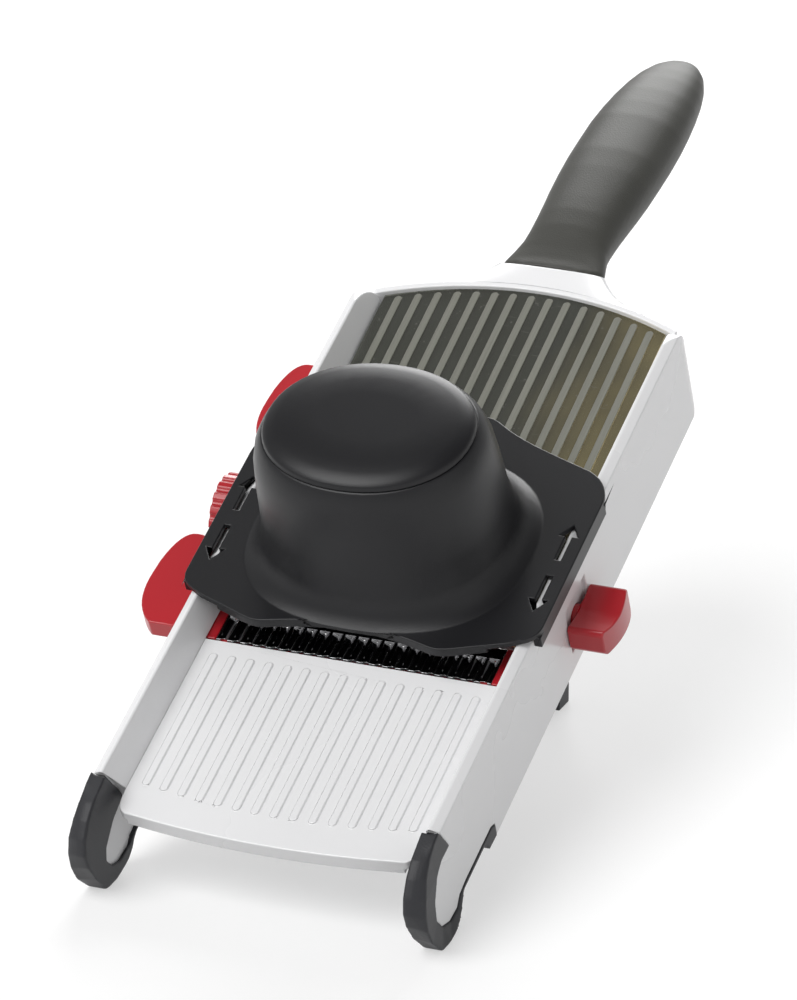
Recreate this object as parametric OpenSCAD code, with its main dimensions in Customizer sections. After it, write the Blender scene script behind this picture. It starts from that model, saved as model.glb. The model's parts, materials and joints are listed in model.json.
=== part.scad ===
// Hand-held mandoline slicer with a folding rear stand and a sliding hand guard.
// Millimetres, +Z up, standing on its two toe boots and its rear foot.
// The origin is the middle of the rear foot's sole. +Y runs from the toes to the handle.
// The board is drawn in its own frame: X across, Y up the board, Z off its face,
// with the zero at the front end of the rails' outer edges.

/* [Board] */
// Width over the two rails
board_width = 130; // [124:1:136]
// Length of the rails' outer edge, from the toe boots to the rear end
rail_length = 247; // [238:1:256]
// Slope of the board over the table, degrees
tilt = 23.6; // [20:0.2:26]
// Depth of a side panel below its outer edge
panel_depth = 42.6; // [41:0.2:46]
// Wall of a side panel
panel_wall = 4.5; // [4:0.1:5]
// Height of the rail's ridge over its outer edge
ridge_rise = 2.2; // [1.5:0.1:2.6]
// How far the ridge lies in from the outer face
ridge_inset = 3.9; // [3:0.1:4.4]
// How far the rail's inner wall stands in from the outer face, at the deck
fairing = 8.2; // [7.6:0.1:8.8]

/* [Landing] */
// Depth of the landing's top below the rails' outer edge
landing_drop = 10.4; // [9:0.1:11]
// Where the landing ends at the blade
landing_end = 78.8; // [74:0.2:79.4]
// How far the lip stands forward at its middle
lip_front = 10.5; // [7:0.5:14]
// How much further back the lip's corners lie
lip_sweep = 4; // [2:0.5:7]
// Thickness of the landing
landing_wall = 3.6; // [3:0.1:4.2]
// Number of ribs on the landing and on the ramp
rib_count = 15; // [9:2:15]
// Distance from rib to rib
rib_pitch = 7.2; // [6.4:0.1:7.2]
// Width of a rib
rib_width = 2.9; // [2:0.1:3.2]
// Height of a rib
rib_rise = 0.5; // [0.3:0.05:0.7]

/* [Ramp] */
// Where the ramp's front edge stands
ramp_front = 101; // [100.6:0.2:103]
// How far the ramp's hinge lies past the end of the rails
hinge_overhang = 5; // [-1:1:7]
// Hinge of the ramp, below the rails' outer edge
ramp_hinge_drop = 13; // [12.4:0.1:14]
// Height of the plate's top over its hinge
plate_rise = 5.3; // [5:0.1:5.6]
// How far the ramp's front edge lies below its hinge end, as set
ramp_fall = 5.2; // [4:0.1:6]
// Radius of the curve that ends the plate at the handle
plate_arc = 142; // [120:1:170]
// How far the middle of the plate reaches past the end of the rails
plate_overhang = 25.4; // [23:0.2:27]
// Steel of the ramp's plate
plate_wall = 0.8; // [0.6:0.1:1]
// Plastic under the plate
carrier_wall = 3; // [2.6:0.1:3.2]
// Plastic left over the lift cams
pad_wall = 1.4; // [1.2:0.1:1.6]
// Radius of the ramp's hinge pin
ramp_pin_r = 2; // [1.6:0.1:2.2]

/* [Dial] */
// Dial and shaft, up the board
dial_y = 148.5; // [146:0.5:151]
// Dial and shaft, below the rails' outer edge
dial_drop = 19.5; // [19:0.1:20.5]
// Radius of the dial
dial_r = 15.5; // [13:0.5:15.5]
// How far the dial stands out of the panel
dial_reach = 14; // [10:0.5:16]
// Number of grip flutes round the dial
dial_flutes = 18; // [12:1:24]
// Radius of the dial's shaft
shaft_r = 2.6; // [2.2:0.1:2.8]
// Turn of the dial from the thinnest to the thickest slice, degrees
dial_turn = 270; // [240:5:280]
// Drop of the ramp's front edge over that turn
slice_range = 4.5; // [3:0.1:4.6]
// Share of that turn above the setting shown
dial_share = 0.444; // [0.3:0.01:0.6]
// Thickness of a lift cam
cam_wall = 4; // [3:0.5:6]
// How far a lift cam stands from the middle
cam_x = 40; // [36:1:44]

/* [Blades] */
// Width of a cartridge, up the board
cartridge_width = 17.6; // [16.8:0.1:17.8]
// Height of a cartridge
cartridge_height = 8.7; // [8:0.1:9]
// Thickness of a blade
blade_wall = 1.2; // [1:0.1:1.5]
// Distance between the flutes of the serrated edge
flute_pitch = 5; // [4:0.25:7]
// Reach of a cartridge's pull tab out of the panel
tab_reach = 22; // [16:0.5:24]
// Length of a pull tab
tab_length = 46; // [38:1:48]
// Thickness of a pull tab
tab_wall = 7; // [5:0.25:7]
// Where the stored cartridge lies behind the one in use
spare_offset = 101; // [100:0.5:103]
// How far the stored cartridge lies below the one in use
spare_drop = 8; // [7.6:0.1:8.4]
// Number of strip teeth
tooth_count = 14; // [8:2:14]
// Thickness of a strip tooth
tooth_wall = 0.8; // [0.6:0.05:1]
// Rise of the strip teeth
tooth_lift = 11; // [9:0.5:11]

/* [Strip lever] */
// Lever and crank, up the board
lever_y = 132.5; // [131:0.5:133.5]
// Lever and crank, below the rails' outer edge
lever_drop = 27.5; // [27.2:0.1:28]
// How far the lever stands out of the panel
lever_reach = 16; // [12:0.5:17]
// Length of the lever's wing
lever_length = 26; // [22:0.5:28]
// Radius of the lever's hub
lever_hub_r = 5; // [5:0.25:6.5]

/* [Guard] */
// Middle of the guard, up the board
guard_y = 127; // [110:1:130]
// Height of the flange's underside over the rails' ridge
guard_seat = 0.3; // [0.2:0.05:0.4]
// Flange thickness
flange_wall = 2.2; // [1.8:0.1:2.6]
// Length of the flange's straight side edges
flange_side = 70.4; // [64:0.2:76]
// Reach of the flange in front of the crown's middle
flange_front = 49; // [46:0.5:52]
// Reach of the flange behind the crown's middle
flange_rear = 67; // [58:0.5:68]
// Height of the crown's parting line over the flange
crown_height = 54; // [48:1:56]
// Half width of the crown at the parting line
crown_x = 39.3; // [37:0.1:40]
// Half length of the crown at the parting line
crown_y = 32.1; // [30:0.1:33]
// Rise of the cap's dome over the parting line
dome_rise = 5.6; // [4:0.1:9]
// Wall of the crown
crown_wall = 2.6; // [2.2:0.1:3]
// Travel of the pusher
push_travel = 17; // [12:1:17]
// Radius of the pusher's rod
rod_r = 4; // [3.5:0.1:4.5]
// Half width of the pusher's foot
pusher_x = 33; // [28:0.5:34]
// Half length of the pusher's foot
pusher_y = 26; // [22:0.5:27]

/* [Handle] */
// Bend of the handle below the board, degrees
handle_bend = 5.2; // [0:0.2:10]
// Length of the grip
grip_length = 151; // [136:0.5:158]
// Half width of the grip at its widest
grip_x = 19.7; // [17:0.1:23]
// Half thickness of the grip at its thickest
grip_z = 12.6; // [11:0.1:15]
// Depth of the grip's axis below the rails' outer edge
grip_drop = 13.5; // [12:0.1:15]
// Length of the neck between the plate and the grip
neck_length = 15.8; // [13:0.2:19]

/* [Stand] */
// Stand hinge, up the board
stand_y = 204; // [202:0.5:206]
// Stand hinge, below the rails' outer edge
stand_drop = 38; // [37.8:0.1:39]
// How far the foot stands behind the hinge, level with the table
stand_lean = 6; // [3:0.5:10]
// Half width of the stand over its arms
stand_x = 29; // [26:0.5:30]
// Width of a stand arm
arm_width = 7; // [5:0.5:8]
// Thickness of a stand arm
arm_wall = 6; // [5:0.25:6.5]
// Radius of a stand pin
stand_pin_r = 2.5; // [2:0.1:2.8]
// Width of the rubber foot, front to back
foot_width = 10; // [8:0.5:10]
// Height of the rubber foot
foot_height = 8; // [6:0.5:10]

/* [Fits] */
// Gap between parts that slide past each other
slide_gap = 0.4; // [0.3:0.05:0.5]
// Gap round a shaft that turns in a bore
run_gap = 0.05; // [0.03:0.01:0.08]
// Gap between parts that are fastened together
seat_gap = 0.05; // [0.02:0.01:0.08]

/* [Hidden] */
$fn = 48;
eps = 0.01;
half_w = board_width / 2;
wall_in = half_w - panel_wall;          // inner face of a side panel
deck_in = half_w - fairing;             // foot of the rail's inner wall
ridge_x = half_w - ridge_inset;
ledge_in = deck_in - 3.8;               // inner edge of the landing's ledge
fairing_foot = landing_drop + 5.1;      // the rail's section ends this far down
ramp_hinge_y = rail_length + hinge_overhang;
plate_end = rail_length + plate_overhang;
grip_start = plate_end + neck_length;
rear_y = plate_curve(0.4, wall_in) + 2.2;   // the panels' rear end, where the yoke's wall starts
rail_end = plate_curve(0, wall_in) - 0.2;   // the rails' rounded ends

// toe boots: the front outlines are read from the top of the toe to its foot
toe_edge = [[-1.2, 1.8], [-6.2, 1.2], [-12, -0.8], [-18, -4], [-22.8, -9], [-25.8, -15], [-26.6, -21.5],
            [-25.2, -29]];
toe_bulge = [[-2.6, 1.8], [-8, 0.9], [-14, -0.1], [-20, -2.8], [-25.2, -7.5], [-27.6, -13], [-27.2, -19.5],
             [-24, -29]];
toe_flare = 2;                          // how far the front stands out past the rail
toe_top = -0.3;                         // the panel's top corner, behind the boot
toe_c = [-14.2, -34];                   // centre of the toe's round
toe_r = 6.9;
toe_cut = 0.5;                          // how much of the round the sole takes off
sole_edge = [[-11.9, -41.8], [-8.2, -42.3], [-4.2, -42.4], [-1.2, -42.1], [1.4, -41], [3.2, -40.1],
             [5.4, -38.2], [8, -37.1], [29.3, -37.3]];
strip_n = -35.4;                        // underside of the panel over the boot's strip
tab_y0 = 30.8;
tab_y1 = 39.2;
// the panel's own edge under the boot, from the tab to the top of the toe
tongue = [[tab_y0, strip_n], [10.7, -35.3], [4.3, -36], [0.6, -38.7], [-6.5, -38], [-12.4, -34.3],
          [-15.4, -28], [-13.9, -20.4], [-8.6, -12.9], [-3.3, -10.4], [4.3, -10.7]];
// the boot's own edge on the panel's inner side, in the same order
inner_edge = [[tab_y0, strip_n], [10.7, strip_n], [4.6, -36.2], [1.5, -37.2], [-7.5, -36.4], [-12.6, -33],
              [-15.2, -28], [-13, -23.4], [-4.5, -18.4], [5.4, -16.2], [3.7, -10.7]];
apex_z = toe_r - toe_cut - toe_c.x * sin(tilt) - toe_c.y * cos(tilt);

// where the stand's hinge lies over the table, and the frame's origin under its foot
hinge_level = apex_z + stand_y * sin(tilt) - stand_drop * cos(tilt);
hinge_ahead = stand_y * cos(tilt) + stand_drop * sin(tilt);
origin_ahead = hinge_ahead + stand_lean;
leg_length = norm([stand_lean, hinge_level - foot_height / 2]);
leg_angle = atan2(stand_lean, hinge_level - foot_height / 2);

// ramp, dial and cams
ramp_reach = ramp_hinge_y - ramp_front;
ramp_slope = asin(ramp_fall / ramp_reach);
plate_half = deck_in - 0.5;
carrier_half = plate_half - 1.4;
hook_y0 = -19;
hook_length = 16;
channel_half = 8.6;
cam_arm = ramp_hinge_y - dial_y;
cam_rate = cam_arm / ramp_reach * slice_range / dial_turn;
pad_level = -ramp_hinge_drop + plate_rise - cam_arm * tan(ramp_slope) - plate_wall - pad_wall;
cam_gap = 0.25;
cam_rest = dial_drop + pad_level - cam_gap;
turn_up = dial_turn * dial_share;
turn_down = dial_turn - turn_up;

// cartridges
cart_y0 = landing_end + 1.4;
cart_y1 = cart_y0 + cartridge_width;
cart_top = -landing_drop - 0.9;
cart_bottom = cart_top - cartridge_height;
cart_left = deck_in - 3.2;              // inner face of the left end block
cart_right = deck_in - 4.4;             // inner face of the right end block
cart_end = wall_in - 0.9;               // outer face of the right end block
ledge_w = 5.4;
tab_top = cart_top + 3.3;

// strip teeth and their carriage
tooth_tip = -18.5;
bar_top = -33.2;
bar_wall = 4;
bar_y0 = cart_y1 + 0.5;
bar_y1 = bar_y0 + 8.9;
tooth_y0 = bar_y0 + 0.9;
tooth_y1 = bar_y1 - 1;
tooth_root = 2.4;
notch_w = tooth_wall + 0.9;
notch_y1 = tooth_y1 + 1.2;
crank_r = tooth_lift / 2 / sin(45);
crank_pin_r = 2;
crank_slack = 0.4;
lug_x0 = half_w - 15.8;
lug_x1 = half_w - 11.8;
crank_x0 = half_w - 8.3;

// guard
guard_under = ridge_rise + guard_seat;
flange_top = guard_under + flange_wall;
flange_half = half_w + 3.6;
parting = flange_top + crown_height;
bridge_top = guard_under + 38;
bridge_wall = 3;
pusher_top = -0.6;
pusher_wall = 3.2;
spike_tip = -6.6;
clip_wall = 1.2;

// part to build

// ---- helpers -------------------------------------------------------------

// the board's frame, set on the table
module board() {
  translate([0, -origin_ahead, apex_z])
    rotate([tilt, 0, 0])
      children();
}

// a (y, z) outline carried across, from x0 to x1
module across(x0, x1) {
  translate([x0, 0, 0])
    rotate([90, 0, 90])
      linear_extrude(x1 - x0)
        children();
}

// an (x, z) outline carried up the board, from y0 to y1
module along(y0, y1) {
  translate([0, y1, 0])
    rotate([90, 0, 0])
      linear_extrude(y1 - y0)
        children();
}

// an (x, y) outline carried off the board, from z0 to z1
module rise(z0, z1) {
  translate([0, 0, z0])
    linear_extrude(z1 - z0)
      children();
}

module box(lo, hi) {
  translate(lo)
    cube(hi - lo);
}

// a rod across the board, at y, z, from x0 to x1
module rod_x(r, x0, x1, y, z) {
  translate([x0, y, z])
    rotate([0, 90, 0])
      cylinder(r = r, h = x1 - x0);
}

module both_sides() {
  children();
  mirror([1, 0, 0])
    children();
}

// a quadratic curve from a over b to c, in n steps
function curve(a, b, c, n = 8) =
  [for (i = [0:n]) let (u = i / n) a * (1 - u) * (1 - u) + b * 2 * u * (1 - u) + c * u * u];

function arc(c, r, a0, a1, n = 8) =
  [for (i = [0:n]) let (a = a0 + (a1 - a0) * i / n) c + r * [cos(a), sin(a)]];

// a rounded outline between an ellipse and a box: e = 2 is the ellipse
function round_outline(a, b, e, n) =
  [for (i = [0:n - 1])
    let (t = 360 * i / n, c = cos(t), s = sin(t))
      [a * sign(c) * pow(abs(c), 2 / e), b * sign(s) * pow(abs(s), 2 / e)]];

function mirrored(points) = [for (i = [len(points) - 1:-1:0]) [-points[i].x, points[i].y]];

// a skin over rings of equal length, each counter-clockwise seen from the last one
// triangles between a ring's outer chain, 0 to last, and the chain that runs back from its end
function strip_cap(ring, i, j, last) =
  i == last && j == last + 1 ? [] :
  i < last && (j == last + 1 || norm(ring[i + 1] - ring[j]) <= norm(ring[j - 1] - ring[i]))
    ? concat([[i, i + 1, j]], strip_cap(ring, i + 1, j, last))
    : concat([[i, j - 1, j]], strip_cap(ring, i, j - 1, last));

// a solid through rings of equal length; last is the end of the outer chain of a C-shaped ring
module loft(rings, last = 0) {
  n = len(rings[0]);
  m = len(rings);
  points = [for (ring = rings) for (p = ring) p];
  foot = last > 0 ? strip_cap(rings[0], 0, n - 1, last) : [[for (i = [0:n - 1]) i]];
  top = last > 0 ? strip_cap(rings[m - 1], 0, n - 1, last) : foot;
  head = [for (f = top) [for (i = [len(f) - 1:-1:0]) (m - 1) * n + f[i]]];
  sides = [for (k = [0:m - 2]) for (i = [0:n - 1])
    let (j = (i + 1) % n, p = k * n + i, q = k * n + j)
      each [[p, p + n, q + n], [p, q + n, q]]];
  polyhedron(points, concat(foot, sides, head));
}

// ---- side panels ---------------------------------------------------------

function panel_outline() = concat(
  [[tab_y1, -panel_depth], [tab_y1, strip_n - 1.6], [tab_y0 + 5, strip_n]],
  tongue,
  [[toe_top, 0], [rail_length - 3, 0]],
  curve([rail_length + 1, -0.2], [rear_y - 5.5, -2.2], [rear_y - 2.6, -13]),
  curve([rear_y - 0.2, -panel_depth + 15.6], [rear_y + 0.2, -panel_depth + 5.6], [rear_y - 6, -panel_depth]));

// the panels' plan, rounded at the rear corners
module corner_plan() {
  polygon(concat([[0, -60], [half_w, -60]],
    curve([half_w, rear_y - 7.5], [half_w, rear_y - 1.5], [wall_in, rear_y + 1], 10),
    [[0, rear_y + 1]]));
}

module rail_section() {
  polygon([[half_w, 0], [ridge_x + 0.9, ridge_rise], [ridge_x, ridge_rise],
           [deck_in, -landing_drop], [deck_in, -landing_drop - 2.6],
           [wall_in, -fairing_foot], [half_w, -fairing_foot]]);
}

module ledge_section() {
  polygon([[half_w - 2, -landing_drop - landing_wall - seat_gap],
           [ledge_in, -landing_drop - landing_wall - seat_gap],
           [ledge_in, -landing_drop - landing_wall - 2], [wall_in, -landing_drop - landing_wall - 5.5],
           [half_w - 2, -landing_drop - landing_wall - 5.5]]);
}

// the rail, the wall and what both panels carry inside; x is positive
module panel_body() {
  intersection() {
    across(wall_in, half_w)
      polygon(panel_outline());
    rise(-board_width, board_width)
      corner_plan();
  }
  // the rail, from the boot's edge to a rounded end beside the plate
  intersection() {
    along(toe_top - 2, rail_end)
      rail_section();
    across(0, half_w)
      polygon(concat([[toe_top - 1, ridge_rise + 0.2], [4.4, -10.7], [6, -16.2], [6, -panel_depth],
                      [rail_end, -panel_depth]],
        curve([rail_end, -6], [rail_end - 3, ridge_rise - 1], [rail_length - 3, ridge_rise + 0.2], 10)));
    rise(-board_width, board_width)
      corner_plan();
  }
  along(5.5, landing_end - 2)
    ledge_section();
  // guides for the ends of the strip carriage
  for (y = [bar_y0 - 2.1, bar_y1 + slide_gap / 2])
    box([half_w - 8, y, -panel_depth + 2.6], [wall_in + eps, y + 1.9, cart_bottom - 1]);
}

module panel_holes() {
  rod_x(ramp_pin_r + seat_gap, 0, half_w - 2, ramp_hinge_y, -ramp_hinge_drop);
  for (p = screw_spots)
    rod_x(screw_r + seat_gap, wall_in - 1, wall_in + screw_bite, p.x, p.y);
}

// a window for a cartridge's section, from x0 to x1
module cart_window(x0, x1, y = 0, z = 0) {
  box([x0, cart_y0 + y - slide_gap, cart_bottom + z - slide_gap],
      [x1, cart_y1 + y + slide_gap, cart_top + z + slide_gap]);
}

module left_side_panel() {
  color("whitesmoke")
    board()
      difference() {
        mirror([1, 0, 0])
          difference() {
            panel_body();
            panel_holes();
          }
        cart_window(-half_w - 1, -ledge_in + 1);
        cart_window(-half_w - 1, -ledge_in + 1, spare_offset, -spare_drop);
        rod_x(shaft_r + run_gap, -half_w - 1, 0, dial_y, -dial_drop);
      }
}

module right_side_panel() {
  color("whitesmoke")
    board()
      difference() {
        panel_body();
        panel_holes();
        cart_window(ledge_in - 1, wall_in);
        cart_window(ledge_in - 1, wall_in, spare_offset, -spare_drop);
        rod_x(shaft_r + run_gap, 0, half_w - 1.8, dial_y, -dial_drop);
        rod_x(lever_hub_r + run_gap, 0, half_w + 1, lever_y, -lever_drop);
        // the recess that the lever's wing turns in front of
        box([half_w - 1.6, lever_y - 10.5, -lever_drop - 7.5], [half_w + 1, lever_y + 9.5, -lever_drop + 12.5]);
      }
}

// ---- landing, bed, brace and yoke ----------------------------------------

function landing_outline() = let (w = deck_in - 0.1) concat(
  [[w, landing_end], [w, 9]],
  curve([w, 2], [w - 0.2, -lip_front + lip_sweep + 0.6], [w - 4, -lip_front + lip_sweep - 0.5], 6),
  curve([w - 9, -lip_front + lip_sweep - 1], [0, -lip_front - 3], [9 - w, -lip_front + lip_sweep - 1], 24),
  curve([4 - w, -lip_front + lip_sweep - 0.5], [0.2 - w, -lip_front + lip_sweep + 0.6], [-w, 2], 6),
  [[-w, 9], [-w, landing_end]]);

// ribs with round ends from the lip's curve to y1, on the face at z
module ribs(y1, z, front) {
  for (i = [0:rib_count - 1])
    let (x = (i - (rib_count - 1) / 2) * rib_pitch, y0 = front + 6 * pow(x / deck_in, 2))
      translate([x, 0, z - eps]) {
        box([-rib_width / 2, y0, 0], [rib_width / 2, y1, rib_rise + eps]);
        for (y = [y0, y1])
          translate([0, y, 0])
            cylinder(r = rib_width / 2, h = rib_rise + eps);
      }
}

module landing_plate() {
  color("white")
    board()
      difference() {
        union() {
          rise(-landing_drop - landing_wall, -landing_drop)
            polygon([for (p = landing_outline()) p]);
          ribs(landing_end - 8, -landing_drop, 3.6);
          // the lip's thicker edge, which hangs below it
          rise(-landing_drop - landing_wall - 2.2, -landing_drop - landing_wall + eps)
            difference() {
              polygon(landing_outline());
              translate([0, 4])
                polygon(landing_outline());
              translate([-half_w, 7])
                square([board_width, landing_end]);
              both_sides()
                translate([ledge_in - 0.6, -30])
                  square([20, 60]);
            }
          for (x = [-bed_screw_x, bed_screw_x])
            translate([x, bed_screw_y, bed_rib_top + seat_gap])
              cylinder(r = 4, h = -landing_drop - landing_wall - bed_rib_top);
        }
        for (x = [-bed_screw_x, bed_screw_x])
          translate([x, bed_screw_y, -landing_drop - landing_wall - 9])
            cylinder(r = screw_r + seat_gap, h = 9 + landing_wall - 1.4);
      }
}

screw_r = 1.5;
screw_head_r = 3;
screw_head = 2;
screw_bite = 3;
flange_t = 3;
bed_top = cart_bottom - 0.3;
bed_wall = 3;
bed_y0 = landing_end - 14;
bed_y1 = bar_y0 - 2.6;
bed_screw_x = 30;
bed_screw_y = landing_end - 7;
bed_rib_top = -landing_drop - landing_wall - 2.4;
brace_top = cart_bottom - spare_drop - 0.3;
brace_wall = 3;
brace_y0 = stand_y - 17;
brace_y1 = stand_y + 8;
brace_lug = 5.2;
// screws through the cross members' end flanges, up the board and off it
bed_spots = [[bed_y0 + 5, bed_top - 8], [bed_y0 + 18, bed_top - 8]];
brace_spots = [[brace_y0 + 5, brace_top - 7], [brace_y1 - 5, brace_top - 7]];
yoke_spots = [[rear_y - 7, -30]];
yoke_wall = 2.4;
yoke_gap = 0.4;
screw_spots = concat(bed_spots, brace_spots, yoke_spots);

module end_flanges(y0, y1, top, depth, spots) {
  both_sides()
    difference() {
      box([wall_in - flange_t - seat_gap, y0, top - depth], [wall_in - seat_gap, y1, top]);
      for (p = spots)
        rod_x(screw_r + seat_gap, 0, half_w, p.x, p.y);
    }
}

module blade_bed() {
  color("gainsboro")
    board()
      difference() {
        union() {
          box([-wall_in + seat_gap, bed_y0, bed_top - bed_wall], [wall_in - seat_gap, bed_y1, bed_top]);
          // the rib that carries the landing's rear edge
          box([-ledge_in + 2, bed_y0, bed_top - eps], [ledge_in - 2, landing_end - 2, bed_rib_top]);
          end_flanges(bed_y0, bed_y1, bed_top, 12, bed_spots);
        }
        for (x = [-bed_screw_x, bed_screw_x])
          translate([x, bed_screw_y, -half_w])
            cylinder(r = screw_r + seat_gap, h = board_width);
      }
}

module stand_brace() {
  color("gainsboro")
    board()
      difference() {
        union() {
          box([-wall_in + seat_gap, brace_y0, brace_top - brace_wall],
              [wall_in - seat_gap, brace_y1, brace_top]);
          end_flanges(brace_y0, brace_y1, brace_top, 11, brace_spots);
          both_sides()
            across(stand_x + 0.6, stand_x + 0.6 + brace_lug)
              union() {
                translate([stand_y, -stand_drop])
                  circle(r = stand_pin_r + 2);
                translate([stand_y - stand_pin_r - 2, -stand_drop])
                  square([2 * stand_pin_r + 4, stand_drop + brace_top - 1]);
              }
        }
        rod_x(stand_pin_r + seat_gap, -half_w, half_w, stand_y, -stand_drop);
      }
}

// the plate's curve, moved out by d, at x
function plate_curve(d, x) = plate_end - plate_arc + sqrt(pow(plate_arc + d, 2) - x * x);

// the yoke's plan: a band that follows the plate's curve from panel to panel
module yoke_plan() {
  half = let (w = wall_in - 0.1, n = 16) concat(
    [[w, rear_y - 10]],
    [for (i = [0:n]) let (x = w * (1 - i / n)) [x, plate_curve(yoke_gap + yoke_wall, x)]]);
  polygon(concat(half, mirrored([for (i = [0:len(half) - 2]) half[i]])));
}

// neck sections: share of its length, half width, half thickness, depth of the middle, squareness
neck_steps = [[-0.46, 57, 8.6, 15, 5], [-0.22, 50.5, 8.5, 14.8, 4.8], [-0.05, 45, 8.3, 14.6, 4.4], [0.1, 38, 8.1, 14.4, 3.9],
              [0.285, 32.2, 7.9, 14.2, 3.4], [0.45, 28.7, 7.6, 14, 3.1], [0.62, 25.7, 7.3, 13.8, 2.8],
              [0.8, 22.9, 7, 13.6, 2.6], [1, 20.6, 6.7, 13.5, 2.4], [1.66, 20, 6.6, 14.7, 2.3]];

module yoke_neck() {
  rotate([-90, 0, 0])
    loft([for (s = neck_steps)
      [for (p = round_outline(s[1], s[2], s[4], 40))
        [p.x, p.y + s[3], plate_end + (neck_length + neck_end) * s[0]]]]);
}

module rear_yoke() {
  color("white")
    board()
      difference() {
        union() {
          difference() {
            union() {
              rise(-panel_depth + 3, -6)
                yoke_plan();
              yoke_neck();
            }
            // room for the plate's curved end
            translate([0, plate_end - plate_arc, -panel_depth])
              cylinder(r = plate_arc + yoke_gap, h = panel_depth + 1, $fn = 240);
          }
          both_sides()
            box([wall_in - flange_t - seat_gap, rear_y - 13, -panel_depth + 3],
                [wall_in - seat_gap, plate_curve(yoke_gap + 1, wall_in - flange_t), -18]);
        }
        // the neck's end and the tang's socket
        translate([0, grip_start, -grip_drop])
          rotate([-handle_bend, 0, 0]) {
            neck_cut([-40, 0, -40], [40, 50, 40]);
            box([-tang_x - seat_gap, -9, -tang_z - seat_gap], [tang_x + seat_gap, 20, tang_z + seat_gap]);
          }
        for (p = yoke_spots)
          rod_x(screw_r + seat_gap, -half_w, half_w, p.x, p.y);
      }
}

module screw(x0, y, z) {
  rod_x(screw_r, x0, x0 + flange_t + screw_bite - 0.3, y, z);
  rod_x(screw_head_r, x0 - screw_head, x0, y, z);
}

module frame_screws() {
  color("silver")
    board() {
      both_sides()
        for (p = screw_spots)
          screw(wall_in - flange_t - seat_gap, p.x, p.y);
      for (x = [-bed_screw_x, bed_screw_x])
        translate([x, bed_screw_y, bed_top - bed_wall]) {
          cylinder(r = screw_r, h = bed_wall + cartridge_height - 1);
          translate([0, 0, -screw_head])
            cylinder(r = screw_head_r, h = screw_head);
        }
    }
}

// ---- toe boots -----------------------------------------------------------

// the outer chain: k is 0 on the outer front edge and 1 on the inner one,
// and lift is how far the sole is rounded up
function boot_outer(k, lift) = concat(
  [for (i = [0:len(toe_edge) - 1]) toe_edge[i] * (1 - k) + toe_bulge[i] * k],
  arc(toe_c + [0, lift], toe_r, 205, 262, 6),
  [for (p = sole_edge) p + [0, lift * max(0, min(0.55, (3 - p.x) / 20))]],
  [[tab_y0 + 0.8, -panel_depth + 0.6], [tab_y1 - 0.2, -panel_depth + 0.2],
   [tab_y1 - seat_gap, strip_n - 1.6 - seat_gap], [tab_y0 + 5, strip_n - seat_gap]]);

// share of the flare at a point: none at the top of the toe and along the strip
function flare_share(p) = max(0, min(1, (0.5 - p.y) / 11)) * max(0, min(1, (9 - p.x) / 15));

// across the boot: place, k, lift, share of the flare, and whether the ring is on the panel's inner side
boot_steps = [[-panel_wall - 1.2, 0.75, 2.4, 0, true], [-panel_wall - 0.8, 0.95, 0.8, 0, true],
              [-panel_wall - 0.15, 1, 0, 0, true], [-panel_wall - 0.05, 1, 0, 0, false],
              [-2.6, 0.9, 0, 0.1, false], [-1, 0.55, 0, 0.55, false], [0, 0.2, 0, 0.9, false],
              [0.35, 0, 0, 1, false]];

function boot_ring(s) = concat(
  [for (p = boot_outer(s[1], s[2])) [p.x, p.y, half_w + s[0] + toe_flare * s[3] * flare_share(p)]],
  [for (p = s[4] ? inner_edge : tongue) [p.x, p.y, half_w + s[0]]]);

module boot() {
  rotate([90, 0, 90])
    loft([for (s = boot_steps) boot_ring(s)], last = len(boot_outer(0, 0)) - 1);
}

module above_table() {
  intersection() {
    children();
    translate([-half_w - 10, -origin_ahead - 60, 0])
      cube([board_width + 20, 140, 120]);
  }
}

module left_toe_boot() {
  color("dimgray")
    above_table()
      board()
        mirror([1, 0, 0])
          boot();
}

module right_toe_boot() {
  color("dimgray")
    above_table()
      board()
        boot();
}

// ---- ramp ----------------------------------------------------------------

// the ramp's frame: zero at its hinge, with the plate's top at plate_rise
module ramp() {
  board()
    translate([0, ramp_hinge_y, -ramp_hinge_drop])
      rotate([ramp_slope, 0, 0])
        children();
}

module tooth_notches(z0, z1) {
  for (i = [0:tooth_count - 1])
    let (x = (i - (tooth_count - 1) / 2) * rib_pitch)
      box([x - notch_w / 2, -ramp_reach - 1, z0], [x + notch_w / 2, notch_y1 - ramp_hinge_y, z1]);
}

module plate_plan(half) {
  intersection() {
    translate([-half, -ramp_reach])
      square([2 * half, ramp_reach + 30]);
    translate([0, plate_end - plate_arc - ramp_hinge_y])
      circle(r = plate_arc, $fn = 240);
  }
}

module ramp_plate() {
  color("silver")
    ramp()
      difference() {
        union() {
          rise(plate_rise - plate_wall, plate_rise)
            plate_plan(plate_half);
          for (i = [0:rib_count - 1])
            let (x = (i - (rib_count - 1) / 2) * rib_pitch,
                 y1 = plate_end - plate_arc - ramp_hinge_y + sqrt(pow(plate_arc - 3.4, 2) - x * x),
                 y0 = notch_y1 + 4 - ramp_hinge_y)
              translate([x, 0, plate_rise - eps]) {
                box([-rib_width / 2, y0, 0], [rib_width / 2, y1, rib_rise + eps]);
                for (y = [y0, y1])
                  translate([0, y, 0])
                    cylinder(r = rib_width / 2, h = rib_rise + eps, $fn = 24);
              }
          // side hooks, folded down over the carrier's edges
          both_sides()
            box([carrier_half + 0.2, hook_y0, plate_rise - 5], [carrier_half + 1, hook_y0 + hook_length, plate_rise - eps]);
        }
        tooth_notches(plate_rise - 2, plate_rise + 2);
      }
}

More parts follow.
